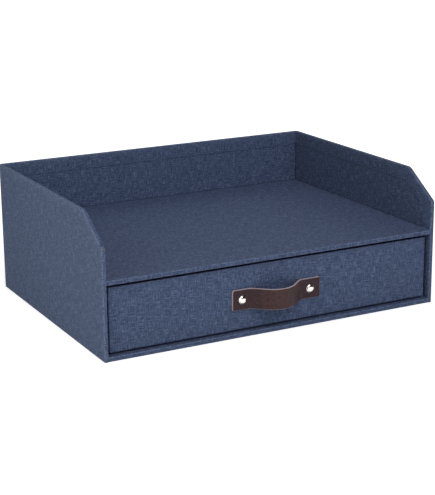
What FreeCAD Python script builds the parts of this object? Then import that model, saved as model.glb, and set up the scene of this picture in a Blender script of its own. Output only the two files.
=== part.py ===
import FreeCAD, Part
import math
import os

# Desk organizer: an open tray above one full-width drawer, grey board covered in paper.
# Millimetres. X runs across the width, Y from the front to the back, Z up.
# The origin is the centre of the footprint, strap pull included, on the table.

# Case
case_width = 330.0
case_depth = 243.0
case_height = 122.0
wall_board = 2.8          # side and back walls
shelf_board = 3.4         # floor of the tray
base_board = 3.4          # under the drawer
paper = 0.4               # covering and lining paper, one layer
edge_radius = 1.0         # paper folded over the edge of a board
corner_cut_depth = 38.0   # the cut-off front corners of the side walls, along Y
corner_cut_height = 25.0  # the same, along Z
shelf_height = 70.0       # top of the tray's floor above the table
case_fold = 13.5          # how far the case's covering folds over onto the inside
base_sheet_margin = 1.5   # how far the sheet under the base stops short of the edges

# Drawer
drawer_board = 2.4
drawer_base_board = 1.6
drawer_base_margin = 1.6  # how far the drawer's base is set in under its walls
drawer_fold = 15.0
drawer_recess = 4.2       # front face behind the case's front edges
drawer_side_gap = 2.8
drawer_top_gap = 3.0
drawer_back_gap = 3.0
drawer_floor_gap = 0.3    # running clearance over the bay's floor

# Strap pull
strap_length = 88.0
strap_width = 18.5
strap_leather = 2.0
strap_corner_radius = 2.5
strap_drop = 1.15         # below the middle of the drawer's front
strap_arch_height = 17.6  # outer face at the crown, from the drawer's front
strap_crown_shift = -1.5  # the crown sits a little left of the middle
strap_crown_radius = 20.0
strap_foot_radius = 8.0
strap_flank_angle = 42.0  # degrees from the drawer's front

# Rivets
rivet_spacing = 68.0
rivet_cap_diameter = 8.0
rivet_cap_height = 2.4
rivet_post_diameter = 3.0
rivet_hole_clearance = 0.1
rivet_head_diameter = 7.0
rivet_head_thickness = 1.0
washer_diameter = 10.0
washer_thickness = 0.6

# Places worked out from the sizes above
wall = wall_board + 2 * paper
drawer_wall = drawer_board + 2 * paper
strap_overhang = strap_arch_height - drawer_recess
front = (strap_overhang - case_depth) / 2
back = front + case_depth
left = -case_width / 2
right = case_width / 2
board_left = left + paper + wall_board      # inner face of the left side board
board_right = right - paper - wall_board
board_back = back - paper - wall_board      # inner face of the back board
inner_left = left + wall                    # face of the lining on the left wall
inner_right = right - wall
inner_back = back - wall
base_low = paper                            # the base stands on its sheet
base_top = base_low + base_board + paper
shelf_low = shelf_height - shelf_board - 2 * paper

drawer_left = inner_left + drawer_side_gap
drawer_right = inner_right - drawer_side_gap
drawer_front = front + drawer_recess
drawer_back = inner_back - drawer_back_gap
drawer_under = base_top + drawer_floor_gap
drawer_low = drawer_under + paper + drawer_base_board
drawer_top = shelf_low - drawer_top_gap
drawer_inside = drawer_front + drawer_wall  # face of the lining behind the drawer's front

strap_height = (drawer_low + drawer_top) / 2 - strap_drop
rivet_places = [-rivet_spacing / 2, rivet_spacing / 2]
rivet_hole_radius = rivet_post_diameter / 2 + rivet_hole_clearance
tolerance = 1e-6          # how near to a plane or a direction counts as on it


def slab(x0, x1, y0, y1, z0, z1):
    """A box between two corners."""
    return Part.makeBox(x1 - x0, y1 - y0, z1 - z0, FreeCAD.Vector(x0, y0, z0))


def bar_x(outline, x0, x1):
    """An outline of (y, z) points carried along X."""
    points = [FreeCAD.Vector(x0, y, z) for y, z in outline]
    face = Part.Face(Part.makePolygon(points + points[:1]))
    return face.extrude(FreeCAD.Vector(x1 - x0, 0, 0))


def rod_y(x, z, radius, y0, y1):
    """A round rod along Y."""
    return Part.makeCylinder(radius, y1 - y0, FreeCAD.Vector(x, y0, z), FreeCAD.Vector(0, 1, 0))


def joined(shapes):
    """Shapes fused to one, with no seams left between flush faces."""
    whole = shapes[0]
    for shape in shapes[1:]:
        whole = whole.fuse(shape)
    return whole.removeSplitter()


def cut_by(shape, tools):
    """The shape with every tool taken away."""
    for tool in tools:
        shape = shape.cut(tool)
    return shape.removeSplitter()


def on_plane(edge, axis, value):
    """Whether every end of an edge lies on the plane axis = value."""
    return all(abs(vertex.Point[axis] - value) < tolerance for vertex in edge.Vertexes)


def runs_along(edge, axis):
    """Whether an edge is straight along one axis."""
    direction = edge.tangentAt(edge.FirstParameter)
    return abs(abs(direction[axis]) - 1) < tolerance


def rounded(shape, wanted):
    """The shape with the wanted edges rounded as paper rounds them."""
    return shape.makeFillet(edge_radius, [edge for edge in shape.Edges if wanted(edge)])


def side_outline(inset, rear, low):
    """Side wall seen from the side, inset from its top, front and cut-off corner."""
    slope = math.hypot(corner_cut_depth, corner_cut_height)
    top = case_height - inset
    cut_top = front + corner_cut_depth + inset * (slope - corner_cut_depth) / corner_cut_height
    cut_low = case_height - corner_cut_height - inset * (slope - corner_cut_height) / corner_cut_depth
    return [(front + inset, low), (rear, low), (rear, top), (cut_top, top), (front + inset, cut_low)]


def case_boards():
    """The grey boards that the case is glued up from."""
    side = side_outline(paper, back - paper, base_low)
    return {
        "case_left_board": bar_x(side, left + paper, board_left),
        "case_right_board": bar_x(side, board_right, right - paper),
        "case_back_board": slab(board_left, board_right, board_back, back - paper,
                                base_low, case_height - paper),
        "case_base_board": slab(board_left, board_right, front + paper, board_back,
                                base_low, base_top - paper),
        "case_shelf_board": slab(board_left, board_right, front + paper, board_back,
                                 shelf_low + paper, shelf_height - paper),
    }


def case_linings():
    """Lining sheets in the tray and in the drawer bay, from the folds of the covering inwards."""
    lining_front = front + case_fold
    tray_side = side_outline(case_fold, inner_back, shelf_height)
    return {
        "tray_left_lining": bar_x(tray_side, board_left, inner_left),
        "tray_right_lining": bar_x(tray_side, inner_right, board_right),
        "tray_back_lining": slab(board_left, board_right, inner_back, board_back,
                                 shelf_height, case_height - case_fold),
        "bay_left_lining": slab(board_left, inner_left, lining_front, inner_back, base_top, shelf_low),
        "bay_right_lining": slab(inner_right, board_right, lining_front, inner_back, base_top, shelf_low),
        "bay_back_lining": slab(board_left, board_right, inner_back, board_back, base_top, shelf_low),
        "bay_floor_lining": slab(board_left, board_right, lining_front, board_back,
                                 base_top - paper, base_top),
        "bay_ceiling_lining": slab(board_left, board_right, lining_front, board_back,
                                   shelf_low, shelf_low + paper),
    }


def case_outer_wrap(boards, linings):
    """Covering paper round the outside of the three walls, folded over their free edges."""
    side = side_outline(0, back, base_low)
    walls = joined([
        bar_x(side, left, inner_left),
        bar_x(side, inner_right, right),
        slab(left, right, inner_back, back, base_low, case_height),
    ])

    def free_edge(edge):
        ridge = runs_along(edge, 0) and not (on_plane(edge, 1, back) or on_plane(edge, 1, inner_back))
        inner_corner = runs_along(edge, 2) and on_plane(edge, 1, inner_back)
        return not (ridge or inner_corner or on_plane(edge, 2, base_low))

    shelf_space = slab(board_left, board_right, front, board_back, shelf_low, shelf_height)
    base_space = slab(board_left, board_right, front, board_back, base_low, base_top)
    return cut_by(rounded(walls, free_edge), list(boards.values()) + list(linings.values())
                  + [shelf_space, base_space])


def shelf_cover(boards, linings):
    """Covering paper over the tray's floor, round the shelf's front edge and folded under."""
    whole = slab(board_left, board_right, front, board_back, shelf_low, shelf_height)
    whole = rounded(whole, lambda edge: runs_along(edge, 0) and on_plane(edge, 1, front))
    return cut_by(whole, [boards["case_shelf_board"], linings["bay_ceiling_lining"]])


def case_base_wrap(boards, linings):
    """Covering paper round the base's front edge, folded over onto the bay's floor."""
    whole = slab(board_left, board_right, front, board_back, base_low, base_top)
    whole = rounded(whole, lambda edge: on_plane(edge, 1, front) and on_plane(edge, 2, base_top))
    return cut_by(whole, [boards["case_base_board"], linings["bay_floor_lining"]])


def case_base_sheet():
    """The sheet that closes the underside, on which the organizer stands."""
    margin = base_sheet_margin
    return slab(left + margin, right - margin, front + margin, back - margin, 0, base_low)


def rivet_holes():
    """The two holes through the strap and the drawer's front."""
    return [rod_y(x, strap_height, rivet_hole_radius, drawer_front - strap_leather, drawer_inside)
            for x in rivet_places]


def drawer_block(inset, low, top):
    """The drawer's whole outline as a block, inset on its four sides."""
    return slab(drawer_left + inset, drawer_right - inset, drawer_front + inset, drawer_back - inset,
                low, top)


def drawer_boards():
    """The grey boards that the drawer is glued up from."""
    x0 = drawer_left + paper
    x1 = drawer_right - paper
    y0 = drawer_front + paper
    y1 = drawer_back - paper
    low = drawer_low + paper
    top = drawer_top - paper
    front_board = slab(x0, x1, y0, y0 + drawer_board, low, top)
    return {
        "drawer_front_board": cut_by(front_board, rivet_holes()),
        "drawer_back_board": slab(x0, x1, y1 - drawer_board, y1, low, top),
        "drawer_left_board": slab(x0, x0 + drawer_board, y0 + drawer_board, y1 - drawer_board, low, top),
        "drawer_right_board": slab(x1 - drawer_board, x1, y0 + drawer_board, y1 - drawer_board, low, top),
        "drawer_base_board": drawer_block(drawer_base_margin + paper, drawer_under + paper, drawer_low),
    }


def drawer_linings():
    """Lining round the inside of the drawer's walls and on its floor."""
    ring_top = drawer_top - drawer_fold
    ring_low = drawer_low + paper
    ring = drawer_block(drawer_wall - paper, ring_low, ring_top)
    ring = ring.cut(drawer_block(drawer_wall, ring_low, ring_top))
    return {
        "drawer_wall_lining": cut_by(ring, rivet_holes()),
        "drawer_floor_lining": drawer_block(drawer_wall, drawer_low, drawer_low + paper),
    }


def drawer_outer_wrap(boards, linings):
    """Covering paper round the drawer's walls, folded over their upper and lower edges."""
    whole = drawer_block(0, drawer_low, drawer_top).cut(drawer_block(drawer_wall, drawer_low, drawer_top))
    free_planes = [(0, drawer_left), (0, drawer_right), (1, drawer_front), (1, drawer_back), (2, drawer_top)]
    wrap = rounded(whole, lambda edge: any(on_plane(edge, axis, value) for axis, value in free_planes))
    walls = [board for name, board in boards.items() if name != "drawer_base_board"]
    return cut_by(wrap, walls + [linings["drawer_wall_lining"]] + rivet_holes())


def drawer_base_sheet(boards):
    """Paper under the drawer's base, folded up round its edges."""
    whole = drawer_block(drawer_base_margin, drawer_under, drawer_low)
    return whole.cut(boards["drawer_base_board"])


def strap_half(side, height, crown_radius, foot_radius):
    """Points of one half of the arch, from its foot to the crown: foot arc, flank, crown arc."""
    angle = math.radians(strap_flank_angle)
    flank = (height - (foot_radius + crown_radius) * (1 - math.cos(angle))) / math.sin(angle)
    span = (foot_radius + crown_radius) * math.sin(angle) + flank * math.cos(angle)

    def at(across, out):
        return (strap_crown_shift - side * (span - across), out)

    half = angle / 2
    foot_end = (foot_radius * math.sin(angle), foot_radius * (1 - math.cos(angle)))
    crown_start = (span - crown_radius * math.sin(angle), height - crown_radius * (1 - math.cos(angle)))
    return [
        at(0, 0),
        at(foot_radius * math.sin(half), foot_radius * (1 - math.cos(half))),
        at(*foot_end),
        at(*crown_start),
        at(span - crown_radius * math.sin(half), height - crown_radius * (1 - math.cos(half))),
        at(span, height),
    ]


def strap_side(thickness, outward):
    """Edges of one face of the strap, seen from above, left end to right end."""
    rise = strap_arch_height - strap_leather
    crown_radius = strap_crown_radius - strap_leather / 2 + thickness
    foot_radius = strap_foot_radius + strap_leather / 2 - thickness

    def place(point):
        return FreeCAD.Vector(point[0], drawer_front - outward - point[1], strap_height - strap_width / 2)

    left_half = [place(p) for p in strap_half(1, rise, crown_radius, foot_radius)]
    right_half = [place(p) for p in strap_half(-1, rise, crown_radius, foot_radius)]
    start = place((-strap_length / 2, 0))
    end = place((strap_length / 2, 0))
    return [
        Part.LineSegment(start, left_half[0]).toShape(),
        Part.Arc(left_half[0], left_half[1], left_half[2]).toShape(),
        Part.LineSegment(left_half[2], left_half[3]).toShape(),
        Part.Arc(left_half[3], left_half[4], left_half[5]).toShape(),
        Part.Arc(right_half[5], right_half[4], right_half[3]).toShape(),
        Part.LineSegment(right_half[3], right_half[2]).toShape(),
        Part.Arc(right_half[2], right_half[1], right_half[0]).toShape(),
        Part.LineSegment(right_half[0], end).toShape(),
    ], start, end


def pull_strap():
    """Leather strap, flat at its riveted ends and standing out in an arch between them."""
    outer, outer_start, outer_end = strap_side(strap_leather, strap_leather)
    inner, inner_start, inner_end = strap_side(0, 0)
    ends = [
        Part.LineSegment(outer_end, inner_end).toShape(),
        Part.LineSegment(inner_start, outer_start).toShape(),
    ]
    outline = Part.Wire(Part.__sortEdges__(outer + inner + ends))
    strap = Part.Face(outline).extrude(FreeCAD.Vector(0, 0, strap_width))
    corners = [edge for edge in strap.Edges
               if runs_along(edge, 1) and abs(abs(edge.CenterOfMass.x) - strap_length / 2) < tolerance]
    return cut_by(strap.makeFillet(strap_corner_radius, corners), rivet_holes())


def rivet_cap(x):
    """A domed cap: the slice of a ball that stands on the strap."""
    radius = rivet_cap_diameter / 2
    ball_radius = (radius ** 2 + rivet_cap_height ** 2) / (2 * rivet_cap_height)
    seat = drawer_front - strap_leather
    centre = FreeCAD.Vector(x, seat - rivet_cap_height + ball_radius, strap_height)
    return Part.makeSphere(ball_radius, centre).common(
        slab(x - radius, x + radius, seat - rivet_cap_height, seat,
             strap_height - radius, strap_height + radius))


def rivet_post(x):
    """The post through the strap and the drawer's front, with its head inside."""
    head = drawer_inside + washer_thickness
    return joined([
        rod_y(x, strap_height, rivet_post_diameter / 2, drawer_front - strap_leather, head),
        rod_y(x, strap_height, rivet_head_diameter / 2, head, head + rivet_head_thickness),
    ])


def backing_washer(x):
    """The washer between the lining and the post's head."""
    end = drawer_inside + washer_thickness
    disc = rod_y(x, strap_height, washer_diameter / 2, drawer_inside, end)
    return disc.cut(rod_y(x, strap_height, rivet_hole_radius, drawer_inside, end))


def organizer():
    """Every piece of the organizer under its own name."""
    boards = case_boards()
    linings = case_linings()
    drawer = drawer_boards()
    drawer_lining = drawer_linings()
    pieces = dict(boards)
    pieces.update(linings)
    pieces["case_outer_wrap"] = case_outer_wrap(boards, linings)
    pieces["case_base_wrap"] = case_base_wrap(boards, linings)
    pieces["case_base_sheet"] = case_base_sheet()
    pieces["shelf_cover"] = shelf_cover(boards, linings)
    pieces.update(drawer)
    pieces.update(drawer_lining)
    pieces["drawer_outer_wrap"] = drawer_outer_wrap(drawer, drawer_lining)
    pieces["drawer_base_sheet"] = drawer_base_sheet(drawer)
    pieces["pull_strap"] = pull_strap()
    pieces["rivet_caps"] = Part.makeCompound([rivet_cap(x) for x in rivet_places])
    pieces["rivet_posts"] = Part.makeCompound([rivet_post(x) for x in rivet_places])
    pieces["backing_washers"] = Part.makeCompound([backing_washer(x) for x in rivet_places])
    return pieces


def main():
    os.makedirs("parts", exist_ok=True)
    for name, shape in organizer().items():
        shape.exportStep("parts/" + name + ".step")
        box = shape.BoundBox
        print("%-20s solids %d  %6.1f x %6.1f x %6.1f mm  valid %s" % (
            name, len(shape.Solids), box.XLength, box.YLength, box.ZLength, shape.isValid()))


main()
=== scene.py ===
import math
import bmesh
import bpy
from mathutils import Matrix, Vector, noise


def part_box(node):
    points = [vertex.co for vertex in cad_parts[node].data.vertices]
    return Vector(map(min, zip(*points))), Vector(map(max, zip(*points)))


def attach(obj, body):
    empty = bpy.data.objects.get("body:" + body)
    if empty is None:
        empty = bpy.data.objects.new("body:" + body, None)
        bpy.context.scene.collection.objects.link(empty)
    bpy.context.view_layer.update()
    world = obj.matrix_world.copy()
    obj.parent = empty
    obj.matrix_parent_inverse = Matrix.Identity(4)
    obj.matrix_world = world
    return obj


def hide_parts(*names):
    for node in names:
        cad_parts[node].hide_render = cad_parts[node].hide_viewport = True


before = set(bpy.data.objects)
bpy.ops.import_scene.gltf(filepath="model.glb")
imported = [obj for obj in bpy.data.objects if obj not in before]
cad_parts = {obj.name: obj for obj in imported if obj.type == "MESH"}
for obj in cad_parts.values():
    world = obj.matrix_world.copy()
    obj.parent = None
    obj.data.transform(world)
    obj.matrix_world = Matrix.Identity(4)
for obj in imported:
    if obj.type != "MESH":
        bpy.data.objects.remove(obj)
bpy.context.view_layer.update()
print("frame loaded:", len(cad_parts), "nodes")

mm = 0.001
sheetMap = "sheet"          # UV map of every paper piece: metres on the flat sheet before it was folded
wearAndShadingName = "wear"           # 1 on the folded edges, for wear and a painted highlight; 0 on the flats; -1 along the cut edge of a lining, for glue and painted shade
mergeWithin = 0.004 * mm    # points that lie this close are one
shortestEdge = 0.003 * mm
sharpFrom = 38              # degrees between two faces from which their edge is sharp


# Sizes read from the frame, in metres

wrapLow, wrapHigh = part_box("case_outer_wrap")
liningLow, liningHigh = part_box("tray_left_lining")
shelfLow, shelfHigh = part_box("shelf_cover")
baseLow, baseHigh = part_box("case_base_wrap")
drawerLow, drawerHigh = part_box("drawer_outer_wrap")
ringLow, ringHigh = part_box("drawer_wall_lining")
strapLow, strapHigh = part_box("pull_strap")
capsLow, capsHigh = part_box("rivet_caps")
paper = liningHigh.x - liningLow.x
caseWall = liningHigh.x - wrapLow.x
drawerWall = ringLow.x + paper - drawerLow.x
caseFold = wrapHigh.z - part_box("tray_back_lining")[1].z
drawerFold = drawerHigh.z - ringHigh.z


# Materials

def colour(text):
    # sRGB hex to the linear colour that the shaders use
    parts = [int(text[i:i + 2], 16) / 255 for i in (1, 3, 5)]
    return [c / 12.92 if c <= 0.04045 else ((c + 0.055) / 1.055) ** 2.4 for c in parts] + [1]


def addNode(tree, kind, inputs=None, stops=(), **settings):
    # one node with its settings. An input takes a value, a node or one of a node's outputs;
    # stops are a colour ramp's places and hex colours
    node = tree.nodes.new(kind)
    for name, value in settings.items():
        setattr(node, name, value)
    for name, value in (inputs or {}).items():
        if isinstance(value, bpy.types.Node):
            value = value.outputs[0]
        if isinstance(value, bpy.types.NodeSocket):
            tree.links.new(value, node.inputs[name])
        else:
            node.inputs[name].default_value = value
    for i, (place, shade) in enumerate(stops):
        stop = node.color_ramp.elements[i] if i < 2 else node.color_ramp.elements.new(place)
        stop.position = place
        stop.color = colour(shade)
    return node


def emptyTree(owner):
    # the node tree of a new material or world
    owner.use_nodes = True
    owner.node_tree.nodes.clear()
    return owner.node_tree


def newMaterial(name):
    material = bpy.data.materials.new(name)
    return material, emptyTree(material)


def endMaterial(tree, values):
    # the shader with its values, and the material's output
    shader = addNode(tree, "ShaderNodeBsdfPrincipled", values)
    addNode(tree, "ShaderNodeOutputMaterial", {"Surface": shader})


def dullSurface(tree, look, shade, height):
    # the end of a material that isn't metal, with a relief where its look has one
    values = {"Base Color": shade, "Roughness": look["roughness"]}
    if "gloss" in look:
        values["Specular IOR Level"] = look["gloss"]
    if "relief" in look:
        values["Normal"] = addNode(tree, "ShaderNodeBump", {
            "Height": height, "Strength": look["reliefShare"], "Distance": look["relief"],
        })
    endMaterial(tree, values)


canvasLook = {
    "thread": 0.62 * mm,         # spacing of the threads in the weave
    "streakWidth": 0.8 * mm,     # one visible thread, drawn wider than the real one so that it shows
    "streakLength": 3.4 * mm,    # how far one thread keeps its shade
    "streakShare": 0.67,         # contrast of the threads
    "slubWidth": 0.5 * mm,       # long thick places in the yarn, paler or darker than the rest
    "slubLength": 8 * mm,
    "slubShare": 0.18,
    "slubFrom": 0.69,            # the noise at which a slub starts,
    "slubFull": 0.73,            # and at which it has its full shade
    "cloudSize": 16 * mm,        # uneven dyeing
    "cloudShare": 0.04,
    "shades": ((0.34, "#32415B"), (0.51, "#465572"), (0.72, "#667898")),
    # pale threads on the folded edges: rubbed wear and a painted highlight of the rounded edges
    "wearShading": "#70809C",
    "paleFrom": 0.46,            # how high a thread stands before it is painted pale, and where it has its full pale shade
    "paleFull": 0.66,            # and where it is rubbed pale
    "edge": "#1A2439",           # the line along a lining's cut edge: glue and dust, and painted shade under the turned-in covering's edge and where a lining meets the next board
    "roughness": 0.87,
    "gloss": 0.36,
    "relief": 0.10 * mm,
    "reliefShare": 0.6,
    "weaveShare": 0.5,           # of the even weave against the uneven yarn, in the relief
    "finer": 0.6,                # how much a noise's finer part counts
}


def canvasPaper():
    # Book cloth: a navy cotton canvas laminated on paper. Uneven yarn gives crossed dark and
    # light streaks with short pale slubs, and a dry, hardly shining face.
    look = canvasLook
    material, tree = newMaterial("canvas_book_cloth")
    sheet = addNode(tree, "ShaderNodeUVMap", uv_map=sheetMap).outputs["UV"]
    split = addNode(tree, "ShaderNodeSeparateXYZ", {"Vector": sheet}).outputs
    yarn = {
        "x": split["X"], "y": split["Y"],
        "wear": addNode(tree, "ShaderNodeAttribute", attribute_name=wearAndShadingName).outputs["Fac"],
    }
    for name, width, height, detail, seed in (     # the seed puts each noise in another place
        ("weft", look["streakLength"], look["streakWidth"], 1, 3.1),
        ("warp", look["streakWidth"], look["streakLength"], 1, 17.7),
        ("slubsAcross", look["slubLength"], look["slubWidth"], 0, 41.3),
        ("slubsUpright", look["slubWidth"], look["slubLength"], 0, 59.9),
        ("cloud", look["cloudSize"], look["cloudSize"], 1, 83.5),
    ):
        place = addNode(tree, "ShaderNodeMapping", {
            "Vector": sheet, "Scale": (1 / width, 1 / height, 1), "Location": (seed, seed, 0),
        })
        yarn[name] = addNode(tree, "ShaderNodeTexNoise", {
            "Vector": place, "Scale": 1.0, "Detail": detail, "Roughness": look["finer"],
        }, noise_dimensions="2D")

    turns = math.pi / look["thread"]
    slub = 1 / (look["slubFull"] - look["slubFrom"])
    wearShading = 1 / (look["paleFull"] - look["paleFrom"])
    limited = ("pale", "dull", "standing", "wearAndHighlight", "glueAndShadeLine")     # these stay between 0 and 1
    # each row: a result, its operation, and terms that are numbers or earlier results
    for name, operation, *terms in (
        ("bothWays", "ADD", "weft", "warp"),
        ("threads", "MULTIPLY", "bothWays", 0.5),
        ("thick", "MAXIMUM", "slubsAcross", "slubsUpright"),
        ("thin", "MINIMUM", "slubsAcross", "slubsUpright"),
        ("pale", "MULTIPLY_ADD", "thick", slub, -slub * look["slubFrom"]),
        ("dull", "MULTIPLY_ADD", "thin", -slub, slub * (1 - look["slubFrom"])),
        ("slubs", "SUBTRACT", "pale", "dull"),
        ("streaked", "MULTIPLY_ADD", "threads", look["streakShare"],
         0.5 - (look["streakShare"] + look["cloudShare"]) / 2),
        ("slubbed", "MULTIPLY_ADD", "slubs", look["slubShare"], "streaked"),
        ("tone", "MULTIPLY_ADD", "cloud", look["cloudShare"], "slubbed"),
        # raised threads on the folded edges painted pale: wear and a painted highlight
        ("crown", "MAXIMUM", "weft", "warp"),
        ("standing", "MULTIPLY_ADD", "crown", wearShading, -wearShading * look["paleFrom"]),
        ("wearAndHighlight", "MULTIPLY", "wear", "standing"),
        # the line along a lining's cut edge: glue and painted shade
        ("glueAndShadeLine", "MULTIPLY", "wear", -1.0),
        ("turnsAcross", "MULTIPLY", "x", turns),
        ("turnsUpright", "MULTIPLY", "y", turns),
        ("over", "SINE", "turnsAcross"),
        ("under", "SINE", "turnsUpright"),
        ("crossed", "MULTIPLY", "over", "under"),
        ("weave", "ABSOLUTE", "crossed"),
        ("relief", "MULTIPLY_ADD", "weave", look["weaveShare"], "threads"),
    ):
        yarn[name] = addNode(tree, "ShaderNodeMath", {
            i: yarn.get(term, term) for i, term in enumerate(terms)
        }, operation=operation, use_clamp=name in limited)

    cloth = addNode(tree, "ShaderNodeValToRGB", {"Fac": yarn["tone"]}, look["shades"])
    # painted on the cloth: the pale of wear and painted highlight on the folded edges, then glue and painted
    # shade along a lining's cut edge
    for place, shade in (("wearAndHighlight", look["wearShading"]), ("glueAndShadeLine", look["edge"])):
        cloth = addNode(tree, "ShaderNodeMix", {
            "Factor": yarn[place], "A": cloth, "B": colour(shade),
        }, data_type="RGBA").outputs[2]
    dullSurface(tree, look, cloth, yarn["relief"])
    return material


fibreLooks = {
    # fleck: the size of a light or dark place, drawn coarser than a real fibre so that it shows

    # Solid grey board of recycled fibres, cut and left raw: flat, dull and lightly flecked.
    "grey_board_raw": {
        "fleck": 1.1111 * mm, "detail": 3.0, "shades": ((0.3, "#6F6B63"), (0.7, "#8C877D")),
        "relief": 0.05 * mm, "reliefShare": 0.4, "roughness": 0.92,
    },
    # Uncoated paper glued under the box: even, soft and slightly fibrous. Its near-black navy is partly
    # painted shade, so that the gap under the drawer's front looks dark.
    "uncoated_base_paper": {
        "fleck": 0.7143 * mm, "detail": 4.0, "shades": ((0.25, "#111A30"), (0.75, "#1B2640")),
        "relief": 0.03 * mm, "reliefShare": 0.3, "roughness": 0.88,
    },
    # The cut edge of the strap's hide, bevelled and left undyed inside: pale pinkish grey fibres.
    "veg_tan_leather_cut_edge": {
        "fleck": 0.4 * mm, "detail": 3.0, "shades": ((0.3, "#A8989D"), (0.7, "#C9BABD")),
        "roughness": 0.8,
    },
    # The flesh side of the hide, brushed: brown, matt and fibrous.
    "veg_tan_leather_flesh_side": {
        "fleck": 0.6667 * mm, "detail": 5.0, "shades": ((0.3, "#3E2D2A"), (0.7, "#5B4541")),
        "relief": 0.08 * mm, "reliefShare": 0.6, "roughness": 0.95,
    },
}


def fibrous(name):
    look = fibreLooks[name]
    material, tree = newMaterial(name)
    place = addNode(tree, "ShaderNodeTexCoord").outputs["Object"]
    fibres = addNode(tree, "ShaderNodeTexNoise", {
        "Vector": place, "Scale": 1 / look["fleck"], "Detail": look["detail"],
    })
    shade = addNode(tree, "ShaderNodeValToRGB", {"Fac": fibres}, look["shades"])
    dullSurface(tree, look, shade, fibres)
    return material


leatherLook = {
    "pebble": 0.9 * mm,        # the grain's cells, drawn about twice as coarse as real so that they show
    "relief": 0.09 * mm,
    "reliefShare": 0.5,
    "mottle": 2.6 * mm,        # uneven dye
    "mottleDetail": 5.0,
    "mottleFiner": 0.7,
    "shades": ((0.36, "#33262A"), (0.66, "#4C3736")),
    "paintedArchShade": 0.10,           # painted light and shade: the arch lighter and its feet darker, as the arch shades them
    "roughness": 0.55,
    "gloss": 0.18,
}


def strapGrain():
    # Vegetable-tanned hide, dyed dark brown and waxed on the grain side: pebbled pores, a low warm sheen.
    look = leatherLook
    material, tree = newMaterial("veg_tan_leather_grain")
    place = addNode(tree, "ShaderNodeTexCoord").outputs["Object"]
    pores = addNode(tree, "ShaderNodeTexVoronoi", {"Vector": place, "Scale": 1 / look["pebble"]})
    cloud = addNode(tree, "ShaderNodeTexNoise", {
        "Vector": place, "Scale": 1 / look["mottle"],
        "Detail": look["mottleDetail"], "Roughness": look["mottleFiner"],
    })
    # painted light and shade: lighter the further the leather stands out from the drawer, darker at the feet
    depth = addNode(tree, "ShaderNodeSeparateXYZ", {"Vector": place}).outputs["Y"]
    paintedArchShade = addNode(tree, "ShaderNodeMapRange", {
        "Value": depth, "From Min": strapHigh.y, "From Max": strapLow.y,
        "To Min": -look["paintedArchShade"], "To Max": look["paintedArchShade"],
    })
    tone = addNode(tree, "ShaderNodeMath", {0: cloud, 1: paintedArchShade}, operation="ADD")
    shade = addNode(tree, "ShaderNodeValToRGB", {"Fac": tone}, look["shades"])
    dullSurface(tree, look, shade, pores)
    return material


nickelLook = {
    "colour": "#F4EEE6",
    "haze": 1.4286 * mm,       # size of the slightly duller places
    "hazeDetail": 2.0,
    "bright": 0.05,            # roughness where it is brightest,
    "hazy": 0.12,              # and where it is dullest
}


def nickelPlate():
    # Bright nickel plate on a pressed steel cap, polished: a slightly warm mirror.
    look = nickelLook
    material, tree = newMaterial("polished_nickel_plate")
    place = addNode(tree, "ShaderNodeTexCoord").outputs["Object"]
    haze = addNode(tree, "ShaderNodeTexNoise", {
        "Vector": place, "Scale": 1 / look["haze"], "Detail": look["hazeDetail"],
    })
    gloss = addNode(tree, "ShaderNodeMapRange", {
        "Value": haze, "To Min": look["bright"], "To Max": look["hazy"],
    })
    endMaterial(tree, {"Base Color": colour(look["colour"]), "Metallic": 1.0, "Roughness": gloss})
    return material


canvas = canvasPaper()
board = fibrous("grey_board_raw")
underPaper = fibrous("uncoated_base_paper")
leather = [strapGrain(), fibrous("veg_tan_leather_cut_edge"), fibrous("veg_tan_leather_flesh_side")]
nickel = nickelPlate()
print("materials made")


# Meshes

def addObject(name, data):
    thing = bpy.data.objects.new(name, data)
    bpy.context.scene.collection.objects.link(thing)
    return thing


def meshOf(name, bm):
    mesh = bpy.data.meshes.new(name)
    bm.to_mesh(mesh)
    bm.free()
    return mesh


def pointMesh(name, points, faces=()):
    # a mesh of faces, or of one line through the points
    mesh = bpy.data.meshes.new(name)
    line = [] if faces else [(i, i + 1) for i in range(len(points) - 1)]
    mesh.from_pydata(points, line, faces)
    return mesh


def finishPiece(piece, materials, slot, body, node):
    # applies the modifiers, shades the mesh and puts it in place of its CAD node
    bpy.context.view_layer.update()
    graph = bpy.context.evaluated_depsgraph_get()
    mesh = bpy.data.meshes.new_from_object(
        piece.evaluated_get(graph), preserve_all_data_layers=True, depsgraph=graph)
    piece.modifiers.clear()
    piece.data = mesh
    mesh.name = piece.name
    if materials:
        mesh.materials.clear()
        for material in materials:
            mesh.materials.append(material)
    mesh.shade_smooth()
    mesh.set_sharp_from_angle(angle=math.radians(sharpFrom))
    weighted = piece.modifiers.new("even shading", "WEIGHTED_NORMAL")
    weighted.keep_sharp = True
    weighted.weight = 100     # large faces count most
    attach(piece, body)
    if node:
        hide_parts(node)


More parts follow.
